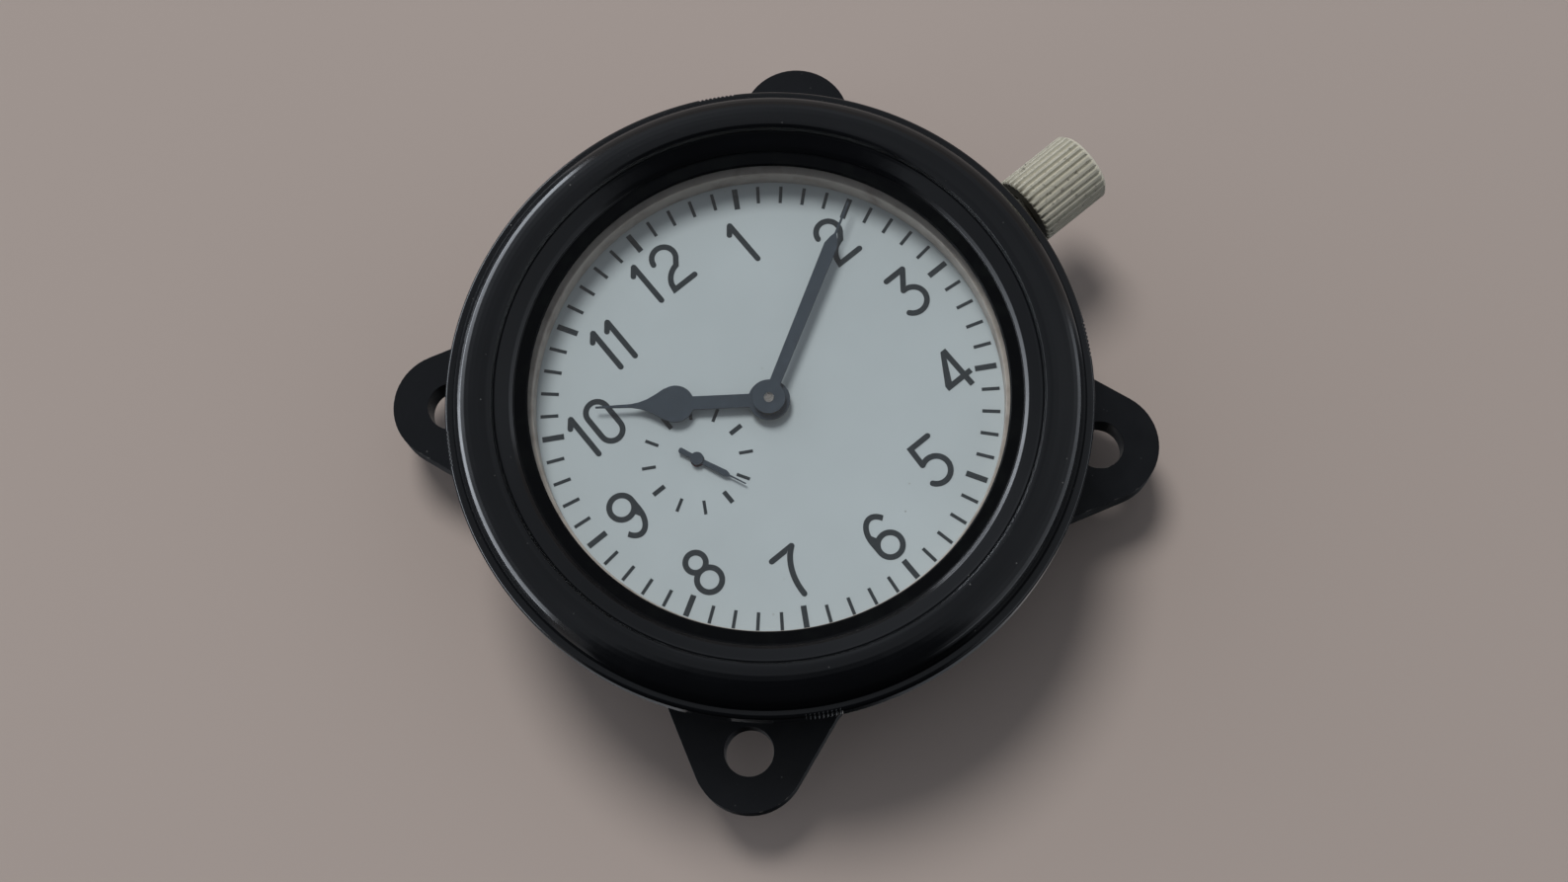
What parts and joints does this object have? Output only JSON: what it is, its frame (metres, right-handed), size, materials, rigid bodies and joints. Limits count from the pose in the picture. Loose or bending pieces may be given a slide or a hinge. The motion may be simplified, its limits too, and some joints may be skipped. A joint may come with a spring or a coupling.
{
  "type": "aircraft panel clock",
  "caption": "Round aircraft panel clock with a gloss black bezel, a lugged case, hour, minute and small seconds hands, a pull-out winding crown and a jewelled lever movement.",
  "frame": {"origin": "centre of the rear cover's outer face", "axes": "+Z out of the dial, +Y towards 12 o'clock, +X towards 3 o'clock along the winding stem"},
  "size_m": [0.0744, 0.0642, 0.0236],
  "materials": {
    "satin_black": "satin black enamel, chipped at edges",
    "gloss_black": "gloss black enamel",
    "window_glass": "clear flat glass",
    "black_rubber": "matt",
    "grey_ring": "matt grey-brown paint",
    "dial_paint": "matt pale grey-blue paint with age specks",
    "dial_ink": "matt dark slate print",
    "hand_paint": "matt dark slate paint",
    "plate_brass": "matt gilt",
    "wheel_brass": "brushed",
    "steel": "brushed",
    "blued_steel": "blued",
    "ruby": "polished",
    "dull_nickel": "dull worn nickel with grime"
  },
  "bodies": {
    "case": {"case_body": "satin_black", "rear_cover": "satin_black", "bezel": "gloss_black", "glass": "window_glass", "glass_gasket": "black_rubber", "spacer_ring": "grey_ring", "dial": "dial_paint", "dial_print": "dial_ink", "movement_ring": "plate_brass", "movement_clamps": "steel", "clamp_screws": "steel", "main_plate": "plate_brass", "barrel_bridge": "plate_brass", "train_bridge": "plate_brass", "pallet_cock": "plate_brass", "balance_cock": "plate_brass", "bridge_screws": "blued_steel", "jewels": "ruby", "click_spring": "steel", "hairspring": "blued_steel", "crown_tube": "dull_nickel"},
    "minute_train": {"centre_arbor": "steel", "centre_wheel": "wheel_brass", "cannon_pinion": "steel", "minute_hand": "hand_paint"},
    "hour_work": {"hour_wheel": "wheel_brass", "hour_hand": "hand_paint"},
    "minute_work": {"minute_wheel": "wheel_brass"},
    "setting_work": {"setting_wheel": "steel"},
    "third_train": {"third_arbor": "steel", "third_wheel": "wheel_brass"},
    "seconds_train": {"fourth_arbor": "steel", "fourth_wheel": "wheel_brass", "seconds_hand": "hand_paint"},
    "escape_train": {"escape_arbor": "steel", "escape_wheel": "steel"},
    "barrel": {"barrel_drum": "wheel_brass", "barrel_cover": "wheel_brass", "mainspring": "blued_steel"},
    "lever": {"pallet_fork": "steel", "pallet_stones": "ruby"},
    "balance": {"balance_wheel": "wheel_brass", "balance_screws": "wheel_brass", "balance_staff": "steel", "roller": "steel"},
    "index": {"regulator": "steel"},
    "winding_click": {"click": "steel"},
    "winding_gear": {"winding_pinion": "steel"},
    "winding_stem": {"stem": "steel", "crown": "dull_nickel"},
    "sliding_clutch": {"clutch": "steel"},
    "crown_gear": {"crown_wheel": "steel"},
    "ratchet": {"barrel_arbor": "steel", "ratchet_wheel": "steel", "ratchet_screw": "blued_steel"},
    "setting_arm": {"setting_lever": "steel"},
    "yoke_arm": {"yoke": "steel"}
  },
  "joints": [
    {"name": "minute_turn", "type": "hinge", "parent": "case", "child": "minute_train", "pos_m": [0, 0, 0.0136], "axis": [0, 0, -1], "continuous": true},
    {"name": "hour_turn", "type": "hinge", "parent": "case", "child": "hour_work", "pos_m": [0, 0, 0.017], "axis": [0, 0, -1], "continuous": true},
    {"name": "minute_wheel_turn", "type": "hinge", "parent": "case", "child": "minute_work", "pos_m": [0.00354, -0.00247, 0.0156], "axis": [0, 0, -1], "continuous": true},
    {"name": "setting_wheel_turn", "type": "hinge", "parent": "case", "child": "setting_work", "pos_m": [0.0096, -0.0016, 0.0156], "axis": [0, 0, -1], "continuous": true},
    {"name": "third_turn", "type": "hinge", "parent": "case", "child": "third_train", "pos_m": [-0.00545, -0.00537, 0.0136], "axis": [0, 0, -1], "continuous": true},
    {"name": "seconds_turn", "type": "hinge", "parent": "case", "child": "seconds_train", "pos_m": [-0.00927, 0, 0.0136], "axis": [0, 0, -1], "continuous": true},
    {"name": "escape_turn", "type": "hinge", "parent": "case", "child": "escape_train", "pos_m": [-0.01384, 0.00264, 0.0136], "axis": [0, 0, -1], "continuous": true},
    {"name": "barrel_turn", "type": "hinge", "parent": "case", "child": "barrel", "pos_m": [0.00477, 0.00763, 0.0136], "axis": [0, 0, -1], "continuous": true},
    {"name": "lever_swing", "type": "hinge", "parent": "case", "child": "lever", "pos_m": [-0.01159, 0.00585, 0.0136], "axis": [0, 0, 1], "range_deg": [-4, 4]},
    {"name": "balance_swing", "type": "hinge", "parent": "case", "child": "balance", "pos_m": [-0.00811, 0.01083, 0.0136], "axis": [0, 0, 1], "range_deg": [-270, 270], "stiffness_Nm_per_rad": 0.0000016},
    {"name": "index_turn", "type": "hinge", "parent": "case", "child": "index", "pos_m": [-0.00811, 0.01083, 0.0136], "axis": [0, 0, 1], "range_deg": [-20, 20]},
    {"name": "click_lift", "type": "hinge", "parent": "case", "child": "winding_click", "pos_m": [0.01177, 0.01018, 0.0111], "axis": [0, 0, 1], "range_deg": [0, 6], "stiffness_Nm_per_rad": 0.00001, "springref_deg": -2.86},
    {"name": "crown_turn", "type": "hinge", "parent": "case", "child": "winding_gear", "pos_m": [0.01515, 0, 0.0136], "axis": [1, 0, 0], "continuous": true},
    {"name": "crown_pull", "type": "slide", "parent": "winding_gear", "child": "winding_stem", "axis": [1, 0, 0], "range_m": [0, 0.0012]},
    {"name": "clutch_slide", "type": "slide", "parent": "winding_gear", "child": "sliding_clutch", "axis": [1, 0, 0], "range_m": [-0.0008, 0]},
    {"name": "crown_wheel_turn", "type": "hinge", "parent": "case", "child": "crown_gear", "pos_m": [0.01123, 0, 0.0111], "axis": [0, 0, 1], "continuous": true},
    {"name": "ratchet_turn", "type": "hinge", "parent": "case", "child": "ratchet", "pos_m": [0.00477, 0.00763, 0.0111], "axis": [0, 0, 1], "continuous": true},
    {"name": "setting_lever_swing", "type": "hinge", "parent": "case", "child": "setting_arm", "pos_m": [0.0193, -0.0033, 0.0156], "axis": [0, 0, 1], "range_deg": [-20.7, 0]},
    {"name": "yoke_swing", "type": "hinge", "parent": "case", "child": "yoke_arm", "pos_m": [0.01355, -0.006, 0.0156], "axis": [0, 0, 1], "range_deg": [0, 7.7]}
  ],
  "couplings": [
    {"joint": "hour_turn", "follows": "minute_turn", "ratio": 0.083333},
    {"joint": "minute_wheel_turn", "follows": "minute_turn", "ratio": -0.33333},
    {"joint": "setting_wheel_turn", "follows": "minute_turn", "ratio": 0.375},
    {"joint": "third_turn", "follows": "minute_turn", "ratio": -8},
    {"joint": "seconds_turn", "follows": "minute_turn", "ratio": 60},
    {"joint": "escape_turn", "follows": "minute_turn", "ratio": -600},
    {"joint": "barrel_turn", "follows": "minute_turn", "ratio": -0.125},
    {"joint": "crown_wheel_turn", "follows": "crown_turn", "ratio": 0.4},
    {"joint": "ratchet_turn", "follows": "crown_turn", "ratio": -0.35},
    {"joint": "clutch_slide", "follows": "crown_pull", "ratio": -0.66667},
    {"joint": "setting_lever_swing", "follows": "crown_pull", "rad_per_m": -299.7},
    {"joint": "yoke_swing", "follows": "crown_pull", "rad_per_m": 110.9}
  ]
}
